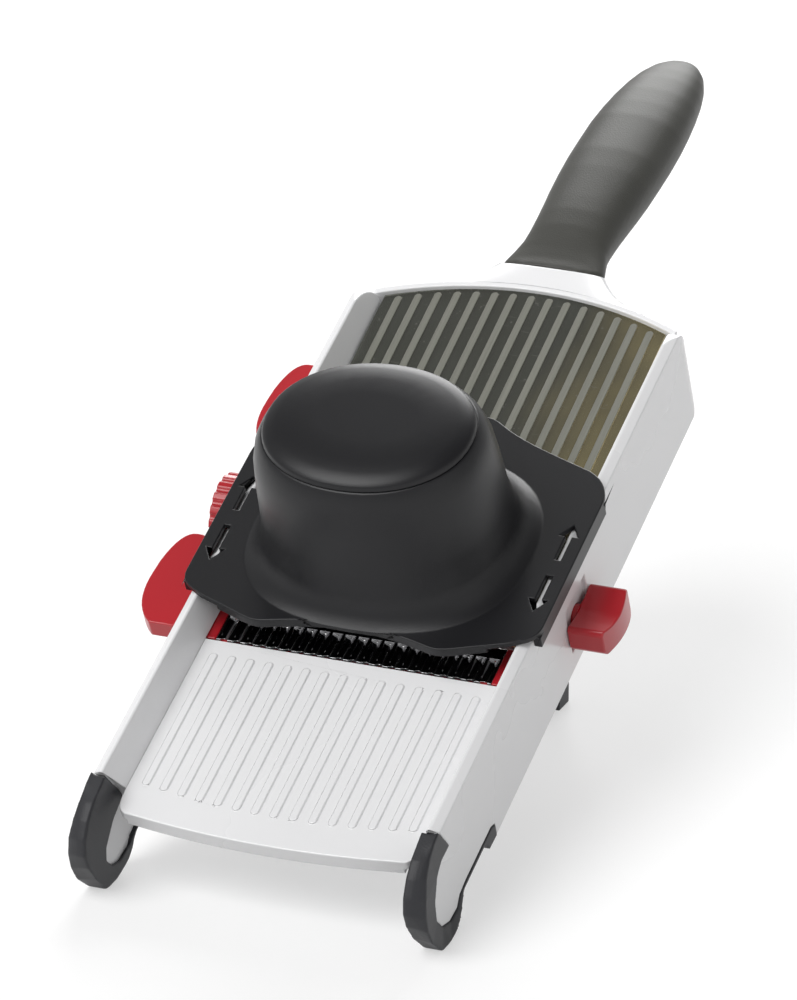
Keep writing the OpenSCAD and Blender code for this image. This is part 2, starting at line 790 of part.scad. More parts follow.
module ramp_carrier() {
  color("gainsboro")
    ramp()
      difference() {
        union() {
          rise(plate_rise - plate_wall - carrier_wall, plate_rise - plate_wall)
            intersection() {
              plate_plan(carrier_half);
              translate([-half_w, -ramp_reach])
                square([board_width, ramp_reach + 8]);
            }
          // the hinge barrel
          rod_x(ramp_pin_r + 2, -carrier_half, carrier_half, 0, 0);
        }
        rod_x(ramp_pin_r + run_gap, -half_w, half_w, 0, 0);
        // the channel that the lift cams work in
        box([-half_w, -cam_arm - channel_half, -10], [half_w, -cam_arm + channel_half, plate_rise - plate_wall - pad_wall]);
        tooth_notches(-20, 20);
      }
}

module ramp_hinge_pin() {
  color("silver")
    board()
      rod_x(ramp_pin_r, -half_w + 2.4, half_w - 2.4, ramp_hinge_y, -ramp_hinge_drop);
}

// ---- dial ----------------------------------------------------------------

module dial_frame() {
  board()
    translate([0, dial_y, -dial_drop])
      children();
}

module dial_knob() {
  color("firebrick")
    dial_frame()
      difference() {
        union() {
          rod_x(dial_r, -half_w - dial_reach, -half_w - 3, 0, 0);
          rod_x(dial_r - 2.5, -half_w - 3 - eps, -half_w - 0.4, 0, 0);
        }
        rod_x(shaft_r + seat_gap, -half_w - dial_reach + 3, 0, 0, 0);
        for (i = [0:dial_flutes - 1])
          rotate([i * 360 / dial_flutes, 0, 0])
            rod_x(1.5, -half_w - dial_reach - 1, -half_w - 4.2, dial_r + 0.7, 0);
      }
}

module dial_shaft() {
  color("silver")
    dial_frame()
      rod_x(shaft_r, -half_w - dial_reach + 3.2, half_w - 2.2, 0, 0);
}

// the cam's radius at its own angle a, which falls as the dial thickens the slice
function cam_radius(a) = cam_rest + cam_rate * (max(a, 90 - turn_down) - 90);

module lift_cams() {
  color("gainsboro")
    dial_frame()
      for (x = [-cam_x, cam_x])
        difference() {
          across(x - cam_wall / 2, x + cam_wall / 2)
            polygon([for (a = [90 - turn_down - 50:5:90 + turn_up]) cam_radius(a) * [cos(a), sin(a)]]);
          rod_x(shaft_r + seat_gap, x - cam_wall, x + cam_wall, 0, 0);
        }
}

// ---- cartridges and blades -----------------------------------------------

function tab_outline() = concat(
  [[0, 0]],
  curve([-tab_reach * 0.62, 0], [-tab_reach * 1.05, tab_length * 0.16], [-tab_reach, tab_length * 0.52], 10),
  curve([-tab_reach * 0.98, tab_length * 0.66], [-tab_reach * 0.88, tab_length], [-tab_reach * 0.6, tab_length], 8),
  curve([-tab_reach * 0.5, tab_length], [-tab_reach * 0.2, tab_length * 0.97], [0, tab_length * 0.8], 5));

// tab_in is how far the pull tab lies closer to the panel than the frame's own
module cartridge(tab_in) {
  // end blocks, the ledges under the blade and the bar that joins them
  box([-half_w - 4, cart_y0, cart_bottom], [-cart_left, cart_y1, cart_top]);
  box([cart_right, cart_y0, cart_bottom], [cart_end, cart_y1, cart_top]);
  box([-cart_left - eps, cart_y0, cart_bottom], [-cart_left + ledge_w, cart_y1, cart_top - blade_wall - 0.2]);
  box([cart_right - ledge_w, cart_y0, cart_bottom], [cart_right + eps, cart_y1, cart_top - blade_wall - 0.2]);
  box([-cart_left, cart_y0 + 5.5, cart_bottom], [cart_right, cart_y1 - 5.5, cart_bottom + 3]);
  // the pull tab
  translate([-half_w - 0.6, cart_y0, tab_top - tab_wall])
    difference() {
      linear_extrude(tab_wall)
        translate([tab_in, 0])
          polygon(tab_outline());
      translate([0, -1, -1])
        cube([30, tab_length + 2, tab_wall + 2]);
    }
}

module blade_cartridge() {
  color("firebrick")
    board()
      cartridge(0);
}

module spare_cartridge() {
  color("firebrick")
    board()
      translate([0, spare_offset, -spare_drop])
        cartridge(3);
}

// a two-edged blade: plain at the ramp, fluted at the landing
module blade() {
  top = cart_top - 0.2;
  difference() {
    box([-cart_left, cart_y0 + 0.2, top - blade_wall], [cart_right, cart_y1 - 0.2, top]);
    // the plain edge's bevel
    translate([0, cart_y1 - 0.2, top - blade_wall])
      rotate([24, 0, 0])
        box([-half_w, -4, -blade_wall * 3], [half_w, 4, 0]);
    // flutes and scallops of the fluted edge
    for (x = [-cart_left + 3:flute_pitch:cart_right - 2]) {
      translate([x, cart_y0 - 1, top + 2])
        rotate([-94, 0, 0])
          cylinder(r = 2.3, h = cartridge_width * 0.75, $fn = 24);
      translate([x, cart_y0 - 0.5, top - 3])
        cylinder(r = 1.6, h = 6, $fn = 24);
    }
  }
}

module slicing_blade() {
  color("silver")
    board()
      blade();
}

module spare_blade() {
  color("silver")
    board()
      translate([0, spare_offset, -spare_drop])
        blade();
}

// ---- strip teeth, carriage and lever --------------------------------------

module teeth(grow, tip) {
  for (i = [0:tooth_count - 1])
    let (x = (i - (tooth_count - 1) / 2) * rib_pitch, t = tooth_wall / 2 + grow)
      across(x - t, x + t)
        polygon([[tooth_y0 - grow, bar_top - tooth_root - grow], [tooth_y1 + grow, bar_top - tooth_root - grow],
                 [tooth_y1 + grow, tip], [tooth_y1 - 2.4, tip], [tooth_y0 - grow, tip - 5]]);
}

module strip_teeth() {
  color("silver")
    board()
      teeth(0, tooth_tip);
}

module strip_carriage() {
  slot_z = -lever_drop - crank_r * sin(45);
  slot_y = lever_y + crank_r * cos(45);
  color("gainsboro")
    board()
      difference() {
        union() {
          box([-wall_in + 0.3, bar_y0, bar_top - bar_wall], [wall_in - 0.3, bar_y1, bar_top]);
          // the arm back to the crank
          box([lug_x0, bar_y1 - eps, bar_top - bar_wall], [lug_x1, slot_y + 6, bar_top]);
          box([lug_x0, slot_y - 5, slot_z - crank_pin_r - crank_slack - 1.8],
              [lug_x1, slot_y + 6.2, slot_z + crank_pin_r + crank_slack + 1.6]);
        }
        teeth(seat_gap, tooth_tip);
        // the crank pin's slot
        box([lug_x0 - 1, slot_y - 3, slot_z - crank_pin_r - crank_slack],
            [lug_x1 + 1, slot_y + crank_r * (1 - cos(45)) + 2.6, slot_z + crank_pin_r + crank_slack]);
      }
}

module lever_frame() {
  board()
    translate([0, lever_y, -lever_drop])
      children();
}

wing_plan = let (e = lever_length / 2) concat(
  [[-e, -2.2], [1.6 - e, -4.4], [e - 3.4, -7.4]],
  arc([e - 2.6, -4.6], 2.6, -70, 0, 3),
  arc([e - 2.6, 3.6], 2.6, 0, 90, 3),
  [[e * 0.4, 5.4], [0, 4.9], [e * -0.44, 5.5], [1.4 - e, 7.2], [-e, 5.8]]);

// the wing seen from above, with its curved outer end
module wing_end() {
  x = half_w + lever_reach - 2.2;
  e = lever_length / 2;
  polygon(concat([[half_w, -e - 1], [x - 0.6, -e - 1]],
    curve([x, -e], [half_w + lever_reach + 2, 0], [x + 0.4, e], 10),
    [[x - 0.6, e + 1], [half_w, e + 1]]));
}

module strip_lever() {
  color("firebrick")
    lever_frame()
      difference() {
        union() {
          intersection() {
            across(half_w + 0.4, half_w + lever_reach)
              polygon(wing_plan);
            rise(-10, 10)
              wing_end();
          }
          rod_x(lever_hub_r, half_w - 3.9, half_w + 0.5, 0, 0);
        }
        rod_x(crank_stub + seat_gap, 0, half_w + 5 + seat_gap, 0, 0);
      }
}

crank_stub = 3;

module lever_crank() {
  color("silver")
    lever_frame()
      rotate([-45, 0, 0]) {
        rod_x(crank_stub, crank_x0, half_w + 5, 0, 0);
        rod_x(crank_stub + 2, crank_x0, half_w - panel_wall - 0.4, 0, 0);
        box([crank_x0, 0, -3.4], [half_w - panel_wall - 0.4, crank_r, 3.4]);
        rod_x(3.4, crank_x0, half_w - panel_wall - 0.4, crank_r, 0);
        rod_x(crank_pin_r, lug_x0 - 0.8, crank_x0 + eps, crank_r, 0);
      }
}

// ---- guard ---------------------------------------------------------------

module guard_frame() {
  board()
    translate([0, guard_y, 0])
      children();
}

// half of the flange's plan, from its front round to its tail
function flange_half_plan() = let (f = flange_half, s = flange_side / 2) concat(
  [[0, -flange_front + 4.4]],
  curve([f * 0.15, -flange_front + 4.6], [f * 0.3, -flange_front + 3.4], [f * 0.46, -flange_front + 0.3], 6),
  curve([f * 0.5, -flange_front], [f * 0.56, -flange_front + 0.2], [f * 0.64, -flange_front + 2.6], 4),
  [[f * 0.86, -s - 5.8]],
  curve([f * 0.91, -s - 3.8], [f, -s - 1], [f, -s + 5], 5),
  curve([f, s - 4], [f, s + 7], [f * 0.86, s + 12], 8),
  curve([f * 0.64, flange_rear - 14.6], [f * 0.4, flange_rear - 9], [f * 0.28, flange_rear - 3.4], 6),
  curve([f * 0.24, flange_rear - 1.6], [f * 0.18, flange_rear], [f * 0.1, flange_rear], 4));

module flange_plan() {
  polygon(concat(flange_half_plan(), mirrored(flange_half_plan())));
}

// crown rings, from the flange up to the parting line: height share, growth, exponent
crown_steps = [[0, 14.4, 2.5], [0.04, 11, 2.45], [0.1, 8.4, 2.4], [0.19, 6.7, 2.3], [0.36, 5.6, 2.25],
               [0.62, 5, 2.2], [0.82, 4.2, 2.15], [0.92, 2.9, 2.1], [0.975, 1.3, 2.1], [1, 0, 2.1]];

function crown_ring(z, grow, e) =
  [for (p = round_outline(crown_x + grow, crown_y + grow, e, 56)) [p.x, p.y, z]];

module crown(inset, z0, z1) {
  loft([for (s = crown_steps) crown_ring(z0 + (z1 - z0) * s.x, s.y - inset, s.z)]);
}

module arrow_slot(flip) {
  scale([1, flip, 1])
    translate([0, 0, -5])
      linear_extrude(20)
        polygon([[-1.2, 2], [-1.2, 14], [1.2, 14], [1.2, 2], [3.6, 2], [0, -3.6], [-3.6, 2]]);
}

module guard_body() {
  color("dimgray")
    guard_frame()
      difference() {
        union() {
          rise(guard_under, flange_top)
            flange_plan();
          crown(0, flange_top - 0.4, parting);
          // skirts that run outside the rails, and the lip round the front
          both_sides()
            box([half_w + 0.5, -flange_side / 2 + 1, -2.2], [flange_half, flange_side / 2 - 1, guard_under + eps]);
          rise(guard_under - 1.6, guard_under + eps)
            intersection() {
              difference() {
                flange_plan();
                translate([0, 2.6])
                  flange_plan();
              }
              translate([-deck_in + 5, -flange_front - 1])
                square([2 * deck_in - 10, flange_front]);
            }
          // lugs that carry the bridge
          both_sides()
            box([crown_x - 4, -7, bridge_top - bridge_wall - 3], [crown_x + 3, 7, bridge_top - bridge_wall]);
        }
        difference() {
          translate([0, 0, -eps])
            crown(crown_wall, guard_under - 1, parting + 0.1);
          both_sides()
            box([crown_x - 4, -7, bridge_top - bridge_wall - 3], [crown_x + 6, 7, bridge_top - bridge_wall]);
        }
        for (side = [-1, 1]) {
          translate([side * (flange_half - 6.4), -20, 0])
            arrow_slot(1);
          translate([side * (flange_half - 6.4), 16, 0])
            arrow_slot(-1);
        }
      }
}

dome_steps = [[0, 0], [0.3, 0.6], [0.55, 2.2], [0.78, 6], [0.93, 12.4], [1, 20]];

module guard_cap() {
  color("dimgray")
    guard_frame()
      difference() {
        union() {
          loft([for (s = dome_steps) crown_ring(parting + 0.2 + dome_rise * s.x, -s.y - 0.15, 2.1)]);
          // the rim that sits inside the crown
          loft([crown_ring(parting - 3.2, -crown_wall - 0.2, 2.1), crown_ring(parting + 0.3, -crown_wall - 0.2, 2.1)]);
        }
        loft([for (s = dome_steps)
          crown_ring(parting - 3.3 + (dome_rise + 1.1) * s.x, -crown_wall * 1.9 - s.y, 2.1)]);
      }
}

module guard_bridge() {
  color("gray")
    guard_frame()
      difference() {
        union() {
          box([-crown_x + 1.4, -6, bridge_top - bridge_wall + seat_gap], [crown_x - 1.4, 6, bridge_top]);
          translate([0, 0, bridge_top - 7])
            cylinder(r = rod_r + 3.4, h = 7);
        }
        translate([0, 0, bridge_top - 20])
          cylinder(r = rod_r + run_gap, h = 40);
      }
}

module pusher_foot() {
  color("gray")
    guard_frame()
      difference() {
        union() {
          rise(pusher_top - pusher_wall, pusher_top)
            polygon(round_outline(pusher_x, pusher_y, 2.3, 48));
          translate([0, 0, pusher_top - eps])
            cylinder(r = rod_r + 3, h = 5);
        }
        translate([0, 0, pusher_top - pusher_wall + 1.2])
          cylinder(r = rod_r + seat_gap, h = 20);
        spikes(seat_gap);
      }
}

clip_z = bridge_top + 0.3;

module pusher_rod() {
  color("silver")
    guard_frame()
      difference() {
        translate([0, 0, pusher_top - pusher_wall + 1.2 + seat_gap])
          cylinder(r = rod_r, h = clip_z + 2.6 - pusher_top + pusher_wall - 1.2);
        translate([0, 0, clip_z])
          difference() {
            cylinder(r = rod_r + 1, h = clip_wall);
            translate([0, 0, -1])
              cylinder(r = rod_r - 1, h = clip_wall + 2);
          }
      }
}

module rod_clip() {
  color("silver")
    guard_frame()
      translate([0, 0, clip_z + seat_gap])
        difference() {
          cylinder(r = rod_r + 2.4, h = clip_wall - 2 * seat_gap);
          translate([0, 0, -1])
            cylinder(r = rod_r - 1 + seat_gap, h = clip_wall + 2);
        }
}

module spikes(grow) {
  for (ring = [[0.34, 4], [0.78, 8]])
    for (i = [0:ring.y - 1])
      let (a = 360 * (i + 0.5) / ring.y)
        translate([pusher_x * ring.x * cos(a), pusher_y * ring.x * sin(a), 0]) {
          translate([0, 0, pusher_top - pusher_wall - eps])
            cylinder(r = 0.9 + grow, h = 2 + grow);
          if (grow == 0)
            translate([0, 0, spike_tip])
              cylinder(r1 = 0.2, r2 = 0.9, h = pusher_top - pusher_wall - spike_tip, $fn = 24);
        }
}

module pusher_spikes() {
  color("silver")
    guard_frame()
      spikes(0);
}

spring_r = rod_r + 4.6;
spring_wire = 0.7;
spring_turns = 6;

module pusher_spring() {
  z0 = pusher_top + spring_wire + 0.1;
  z1 = bridge_top - bridge_wall - spring_wire - 0.1;
  steps = 20 * spring_turns;
  color("silver")
    guard_frame()
      loft([for (k = [0:steps])
        let (u = k / steps, a = 360 * spring_turns * u, c = [spring_r * cos(a), spring_r * sin(a), z0 + (z1 - z0) * u])
          [for (j = [0:5])
            let (b = 60 * j)
              c + spring_wire * [-cos(a) * cos(b), -sin(a) * cos(b), sin(b)]]]);
}

// ---- handle --------------------------------------------------------------

tang_x = 9;
tang_z = 4;
tang_end = grip_length - 42;
neck_end = 3.5;                         // where the slanted joint crosses the grip's middle
neck_slant = 42;                        // how far that joint leans back from square

// a box whose back half starts at the slanted joint, in the handle's frame
module neck_cut(a, b) {
  translate([0, neck_end, 0])
    rotate([neck_slant, 0, 0])
      box(a, b);
}

module handle_frame() {
  board()
    translate([0, grip_start, -grip_drop])
      rotate([-handle_bend, 0, 0])
        children();
}

module handle_tang() {
  color("silver")
    handle_frame()
      box([-tang_x, -8.8, -tang_z], [tang_x, tang_end, tang_z]);
}

// grip sections: share of its length, of its width, of its thickness, and how far it bows down
grip_steps = [[-0.05, 1.1, 0.5, 0], [0.023, 1.04, 0.53, 0], [0.06, 0.955, 0.6, 0], [0.1, 0.88, 0.7, 0],
              [0.14, 0.863, 0.79, 0], [0.2, 0.876, 0.87, 0.1], [0.255, 0.905, 0.91, 0.3], [0.31, 0.942, 0.94, 0.5],
              [0.38, 0.975, 0.98, 0.8], [0.46, 0.995, 1, 1.1], [0.54, 1, 1, 1.7], [0.62, 0.99, 0.99, 2.1],
              [0.69, 0.955, 0.955, 2.7], [0.76, 0.9, 0.9, 3.4], [0.83, 0.82, 0.82, 4.3], [0.885, 0.725, 0.72, 5],
              [0.935, 0.585, 0.59, 5.8], [0.97, 0.41, 0.42, 6.3], [0.99, 0.26, 0.26, 6.6], [1, 0.1, 0.09, 6.8]];

module grip_sleeve() {
  color("dimgray")
    handle_frame()
      difference() {
        rotate([-90, 0, 0])
          loft([for (s = grip_steps)
            [for (p = round_outline(grip_x * s.y, grip_z * s.z, 2.25, 40))
              [p.x, p.y + s[3], grip_length * s.x]]]);
        box([-tang_x - seat_gap, -9, -tang_z - seat_gap], [tang_x + seat_gap, tang_end + 0.2, tang_z + seat_gap]);
        // the sleeve starts where the yoke's neck ends
        neck_cut([-40, -50, -40], [40, seat_gap, 40]);
      }
}

// ---- stand ---------------------------------------------------------------

// the leg's frame: zero at its hinge, with the leg along -Z
module leg() {
  translate([0, -stand_lean, hinge_level])
    rotate([leg_angle, 0, 0])
      children();
}

// the bar that the foot is pushed onto, grown by g
module foot_bar(g) {
  leg()
    box([-stand_x - g, -arm_wall / 2 - g, -leg_length - 1.2 - g], [stand_x + g, arm_wall / 2 + g, -leg_length + 9]);
}

module stand_leg() {
  color("gainsboro")
    difference() {
      union() {
        leg() {
          both_sides() {
            rod_x(stand_pin_r + 2.2, stand_x - arm_width, stand_x, 0, 0);
            box([stand_x - arm_width, -arm_wall / 2, -leg_length], [stand_x, arm_wall / 2, 0]);
          }
          for (share = [0.22, 0.6])
            box([-stand_x + 1, -arm_wall / 2 + 1, -leg_length * share - 5],
                [stand_x - 1, arm_wall / 2 - 1, -leg_length * share + 5]);
        }
        foot_bar(0);
      }
      leg()
        rod_x(stand_pin_r + run_gap, -half_w, half_w, 0, 0);
    }
}

module stand_pins() {
  color("silver")
    board()
      both_sides()
        rod_x(stand_pin_r, stand_x - arm_width - 1, stand_x + brace_lug + 0.4, stand_y, -stand_drop);
}

module stand_foot() {
  color("dimgray")
    difference() {
      box([-stand_x - 1.6, -foot_width / 2, 0], [stand_x + 1.6, foot_width / 2, foot_height]);
      foot_bar(seat_gap);
    }
}

left_side_panel();
right_side_panel();
landing_plate();
blade_bed();
stand_brace();
rear_yoke();
left_toe_boot();
right_toe_boot();
frame_screws();
ramp_plate();
ramp_carrier();
ramp_hinge_pin();
dial_knob();
dial_shaft();
lift_cams();
blade_cartridge();
slicing_blade();
spare_cartridge();
spare_blade();
strip_carriage();
strip_teeth();
strip_lever();
lever_crank();
guard_body();
guard_cap();
guard_bridge();
pusher_foot();
pusher_rod();
pusher_spikes();
rod_clip();
pusher_spring();
handle_tang();
grip_sleeve();
stand_leg();
stand_pins();
stand_foot();
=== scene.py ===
import json
import math

import bmesh
import bpy
from bpy.props import FloatProperty, FloatVectorProperty, IntProperty, PointerProperty
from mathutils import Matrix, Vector


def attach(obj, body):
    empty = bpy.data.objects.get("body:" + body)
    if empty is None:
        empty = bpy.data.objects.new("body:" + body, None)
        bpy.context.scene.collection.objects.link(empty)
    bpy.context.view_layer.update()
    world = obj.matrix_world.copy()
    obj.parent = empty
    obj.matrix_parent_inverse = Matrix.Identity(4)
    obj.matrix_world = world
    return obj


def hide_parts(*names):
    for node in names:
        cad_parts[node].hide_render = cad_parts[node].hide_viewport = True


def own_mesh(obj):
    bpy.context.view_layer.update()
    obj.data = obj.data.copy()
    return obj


bl_info = {
    "name": "Mandoline slicer",
    "version": (1, 0, 0),
    "blender": (4, 5, 0),
    "location": "View3D > Sidebar > Mandoline",
    "description": "Dresses the packed mandoline slicer with finished pieces and materials",
    "category": "Object",
}

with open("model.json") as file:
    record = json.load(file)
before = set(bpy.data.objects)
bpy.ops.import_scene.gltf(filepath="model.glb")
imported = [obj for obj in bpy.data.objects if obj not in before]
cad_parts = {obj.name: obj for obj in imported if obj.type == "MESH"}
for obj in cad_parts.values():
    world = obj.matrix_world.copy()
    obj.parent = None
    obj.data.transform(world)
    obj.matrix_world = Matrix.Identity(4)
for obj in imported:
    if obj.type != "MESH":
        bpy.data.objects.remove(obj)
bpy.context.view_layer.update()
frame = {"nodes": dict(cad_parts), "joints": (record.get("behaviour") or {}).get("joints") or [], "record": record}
joints = {joint["name"]: joint for joint in frame["joints"]}

BODY_OF = {node: body for body, nodes in frame["record"]["behaviour"]["bodies"].items()
           for node in nodes}
MM = 0.001

# the board's own directions: across it, up its length and out of its face
ACROSS = Vector((1, 0, 0))
UP = Vector(joints["guard_slide"]["axis"])
OUT = Vector(joints["strip_teeth_rise"]["axis"])

# cleaning a CAD mesh: points this close are one, and faces this close to one plane are one
WELD = 0.001 * MM
FLAT_ANGLE = math.radians(0.5)
# an edge that turns by more than this is eased, and the lever's edges are this much rounder
SHARP_ANGLE = math.radians(28)
LEVER_ROUNDING = 1.5

# a face of the plate looks outward when its direction is this near OUT
FACING = 0.9
LEVEL_STEP = 0.1 * MM
# heights over the plate's flat face: where a rib's finish takes over, and the band at its foot where shade is
# painted
RIB_SIDE = (0.12 * MM, 0.4 * MM)
FOOT_STARTS = (0.01 * MM, 0.1 * MM)
FOOT_ENDS = (0.15 * MM, 0.3 * MM)
# the ramp's colours besides its sheet: cloudy patches, specks and scratches, painted shade at the ribs' feet, and
# the ribs
CLOUDED = (0.26, 0.26, 0.22, 1)
SCRATCHED = (0.75, 0.74, 0.68, 1)
# painted shade in the crease at a rib's foot
RIB_FOOT_SHADE = (0.06, 0.06, 0.05, 1)
RIB_DARK = (0.20, 0.20, 0.17, 1)
RIB_PALE = (0.30, 0.30, 0.26, 1)

# the studio's sides end and its ceiling is reached at these heights, from 0 level to 1 overhead
WALL_TOP, CEILING = 0.25, 0.85
FLOOR_SIZE = 12
PAPER, PAPER_GLOW, PAPER_ROUGHNESS = 0.5, 0.5, 0.9
KEY_SPREAD = math.radians(40)
PANEL_SIZE = 1.4

CAMERA_AIM = Vector((0.02926, -0.15892, 0.14156))
CAMERA_DISTANCE = 2.0
CAMERA_LENS = 209.79
CAMERA_SENSOR = 36
CAMERA_REACH = 30


# ---- nodes -------------------------------------------------------------------


class Signal:
    """A node's output that takes part in sums: each sum adds its own Math node."""

    def __init__(self, plan, socket):
        self.plan = plan
        self.socket = socket

    def beside(self, output):
        """Another output of the same node."""
        return Signal(self.plan, self.socket.node.outputs[output])

    def _sum(self, operation, first, second):
        return self.plan.node("ShaderNodeMath", {"operation": operation}, {0: first, 1: second})

    def __add__(self, other):
        return self._sum("ADD", self, other)

    def __radd__(self, other):
        return self._sum("ADD", other, self)

    def __sub__(self, other):
        return self._sum("SUBTRACT", self, other)

    def __rsub__(self, other):
        return self._sum("SUBTRACT", other, self)

    def __mul__(self, other):
        return self._sum("MULTIPLY", self, other)

    def __rmul__(self, other):
        return self._sum("MULTIPLY", other, self)


class Plan:
    """The nodes of a material or of the studio's air."""

    def __init__(self, owner):
        owner.use_nodes = True
        self.tree = owner.node_tree

    def feed(self, node, inputs):
        """Fills a node's sockets: a signal is linked, and anything else is a plain value."""
        for key, value in inputs.items():
            if isinstance(value, Signal):
                self.tree.links.new(value.socket, node.inputs[key])
            else:
                node.inputs[key].default_value = value

    def node(self, kind, settings=None, inputs=None, output=0):
        """A new node: its settings are set first, and then its sockets are filled."""
        made = self.tree.nodes.new(kind)
        for key, value in (settings or {}).items():
            setattr(made, key, value)
        self.feed(made, inputs or {})
        return Signal(self, made.outputs[output])

    def seen_by(self, first_ray, second_ray):
        """1 for a ray of either kind, and 0 for all others."""
        path = self.node("ShaderNodeLightPath", output=first_ray)
        return self.node("ShaderNodeMath", {"operation": "MAXIMUM"},
                         {0: path, 1: path.beside(second_ray)})


class Finish(Plan):
    """One material, built node by node round its Principled shader."""

    def __init__(self, name):
        self.material = bpy.data.materials.new(name)
        super().__init__(self.material)
        self.shader = self.tree.nodes["Principled BSDF"]
        self.place = self.node("ShaderNodeTexCoord", output="Object")

    def set(self, **sockets):
        """Fills the shader's own sockets, named with _ for a space, and gives the material."""
        self.feed(self.shader, {key.replace("_", " "): value for key, value in sockets.items()})
        return self.material

    def along(self, direction):
        """How far a point lies along a direction, in metres."""
        return self.node("ShaderNodeVectorMath", {"operation": "DOT_PRODUCT"},
                         {0: self.place, 1: tuple(direction)}, "Value")

    def stretched(self, across, up, out):
        """Texture places on the board, each direction with its own scale."""
        return self.node("ShaderNodeCombineXYZ", inputs={0: self.along(ACROSS) * across,
                                                         1: self.along(UP) * up,
                                                         2: self.along(OUT) * out})

    def noise(self, scale, detail, roughness=0.5, place=None):
        return self.node("ShaderNodeTexNoise",
                         inputs={"Vector": place or self.place, "Scale": scale,
                                 "Detail": detail, "Roughness": roughness}, output="Fac")

    def rise(self, signal, low, high):
        """0 below low and 1 above high, with an even rise between."""
        return self.node("ShaderNodeMapRange",
                         inputs={"Value": signal, "From Min": low, "From Max": high})

    def blend(self, share, first, second):
        """A colour between two, by share."""
        return self.node("ShaderNodeMix", {"data_type": "RGBA"},
                         {"Factor": share, 6: first, 7: second}, 2)

    def bump(self, height, distance, strength, under=None):
        """Raised by height, on top of another bump where one is given."""
        inputs = {"Height": height, "Distance": distance, "Strength": strength}
        if under:
            inputs["Normal"] = under
        return self.node("ShaderNodeBump", inputs=inputs, output="Normal")


# ---- finishes ----------------------------------------------------------------


def shade(color, factor=1.0):
    """An opaque colour, made lighter or darker by a factor."""
    return (*(min(1.0, part * factor) for part in color), 1.0)


def moulded(name, color, roughness, grain, grain_depth, coat=0.0, specular=0.5):
    """A moulded plastic: faint flow marks in its colour, a fine grain and a soft unevenness."""
    finish = Finish(name)
    flow = finish.noise(scale=18, detail=3)
    grained = finish.noise(scale=grain, detail=2)
    uneven = finish.noise(scale=9, detail=1)
    wave = finish.bump(finish.noise(scale=30, detail=0), distance=0.1 * MM, strength=0.3)
    return finish.set(
        Base_Color=finish.blend(flow, shade(color, 0.98), shade(color, 1.02)),
        Roughness=roughness + (flow - 0.5) * 0.03 + (uneven - 0.5) * 0.06,
        Coat_Weight=coat, Coat_Roughness=0.12, Specular_IOR_Level=specular,
        Normal=finish.bump(grained, distance=grain_depth, strength=0.6, under=wave))


def rubber(name, color, roughness):
    """A soft-touch rubber: a fine even stipple, and patches that use has left duller."""
    finish = Finish(name)
    patch = finish.noise(scale=24, detail=3)
    stipple = finish.node("ShaderNodeTexVoronoi",
                          inputs={"Vector": finish.place, "Scale": 1700.0}, output="Distance")
    return finish.set(
        Base_Color=finish.blend(patch, shade(color, 0.85), shade(color, 1.2)),
        Roughness=roughness + (patch - 0.5) * 0.12,
        Normal=finish.bump(stipple, distance=0.08 * MM, strength=0.5))


def brushed(name, color, roughness):
    """Sheet steel with fine lines from its grinding, and a slow change in tint."""
    finish = Finish(name)
    lines = finish.noise(scale=1, detail=3, roughness=0.7,
                         place=finish.stretched(across=900, up=900, out=200))
    tint = finish.noise(scale=14, detail=2)
    return finish.set(
        Base_Color=finish.blend(tint, shade(color, 0.9), shade(color, 1.08)), Metallic=1.0,
        Roughness=roughness + (lines - 0.5) * 0.12,
        Normal=finish.bump(lines, distance=0.02 * MM, strength=0.5))


def plate_face():
    """The steel plate's outward direction, and how far along it the plate's flat face lies."""
    mesh = frame["nodes"]["ramp_plate"].data
    levels = {}
    for face in mesh.polygons:
        if face.normal.dot(OUT) > FACING:
            level = round(face.normal.dot(mesh.vertices[face.vertices[0]].co) / LEVEL_STEP)
            levels.setdefault(level, []).append(face)
    level, faces = max(levels.items(), key=lambda item: sum(face.area for face in item[1]))
    return faces[0].normal.copy(), level * LEVEL_STEP


def ramp_steel(sheet_color, reflection_color):
    """Dark polished sheet with a painted reflection that comes and goes, warmer to the right; paler ribs with
    painted shade at their feet.
    """
    finish = Finish("ramp_steel")
    direction, level = plate_face()
    height = finish.along(direction) - level
    rib = finish.rise(height, *RIB_SIDE)
    # painted shade: a dark band where each rib meets the sheet
    foot = finish.rise(height, *FOOT_STARTS) - finish.rise(height, *FOOT_ENDS)

    lines = finish.noise(scale=1, detail=3, roughness=0.7,
                         place=finish.stretched(across=1500, up=12, out=200))
    speck = finish.rise(finish.noise(scale=420, detail=2, roughness=0.6), low=0.68, high=0.74)
    streaks = finish.noise(scale=1, detail=2, place=finish.stretched(across=60, up=900, out=200))
    scratch = finish.rise(streaks, low=0.70, high=0.76)
    # painted reflection: in patches, the sheet turns warmer and brighter towards the ramp's right
    rightward = finish.along(ACROSS) * 3.0
    painted_reflection = finish.rise(finish.noise(scale=11, detail=2) + rightward, low=0.42, high=0.68)
    cloud = finish.rise(finish.noise(scale=26, detail=3), low=0.35, high=0.75)

    # the painted reflection is blended into the sheet's colour
    sheet = finish.blend(painted_reflection, shade(sheet_color), shade(reflection_color))
    sheet = finish.blend(cloud * 0.7, sheet, CLOUDED)
    sheet = finish.blend((speck + scratch) * 0.5, sheet, SCRATCHED)
    # the painted shade darkens the sheet at the ribs' feet
    sheet = finish.blend(foot * 0.6, sheet, RIB_FOOT_SHADE)
    rib_top = finish.blend(lines, RIB_DARK, RIB_PALE)
    return finish.set(
        Base_Color=finish.blend(rib, sheet, rib_top), Metallic=1.0 - rib * 0.3,
        Roughness=0.2 + (lines - 0.5) * 0.1 + rib * 0.25,
        Normal=finish.bump(lines, distance=0.02 * MM, strength=0.5))


KIT = {}


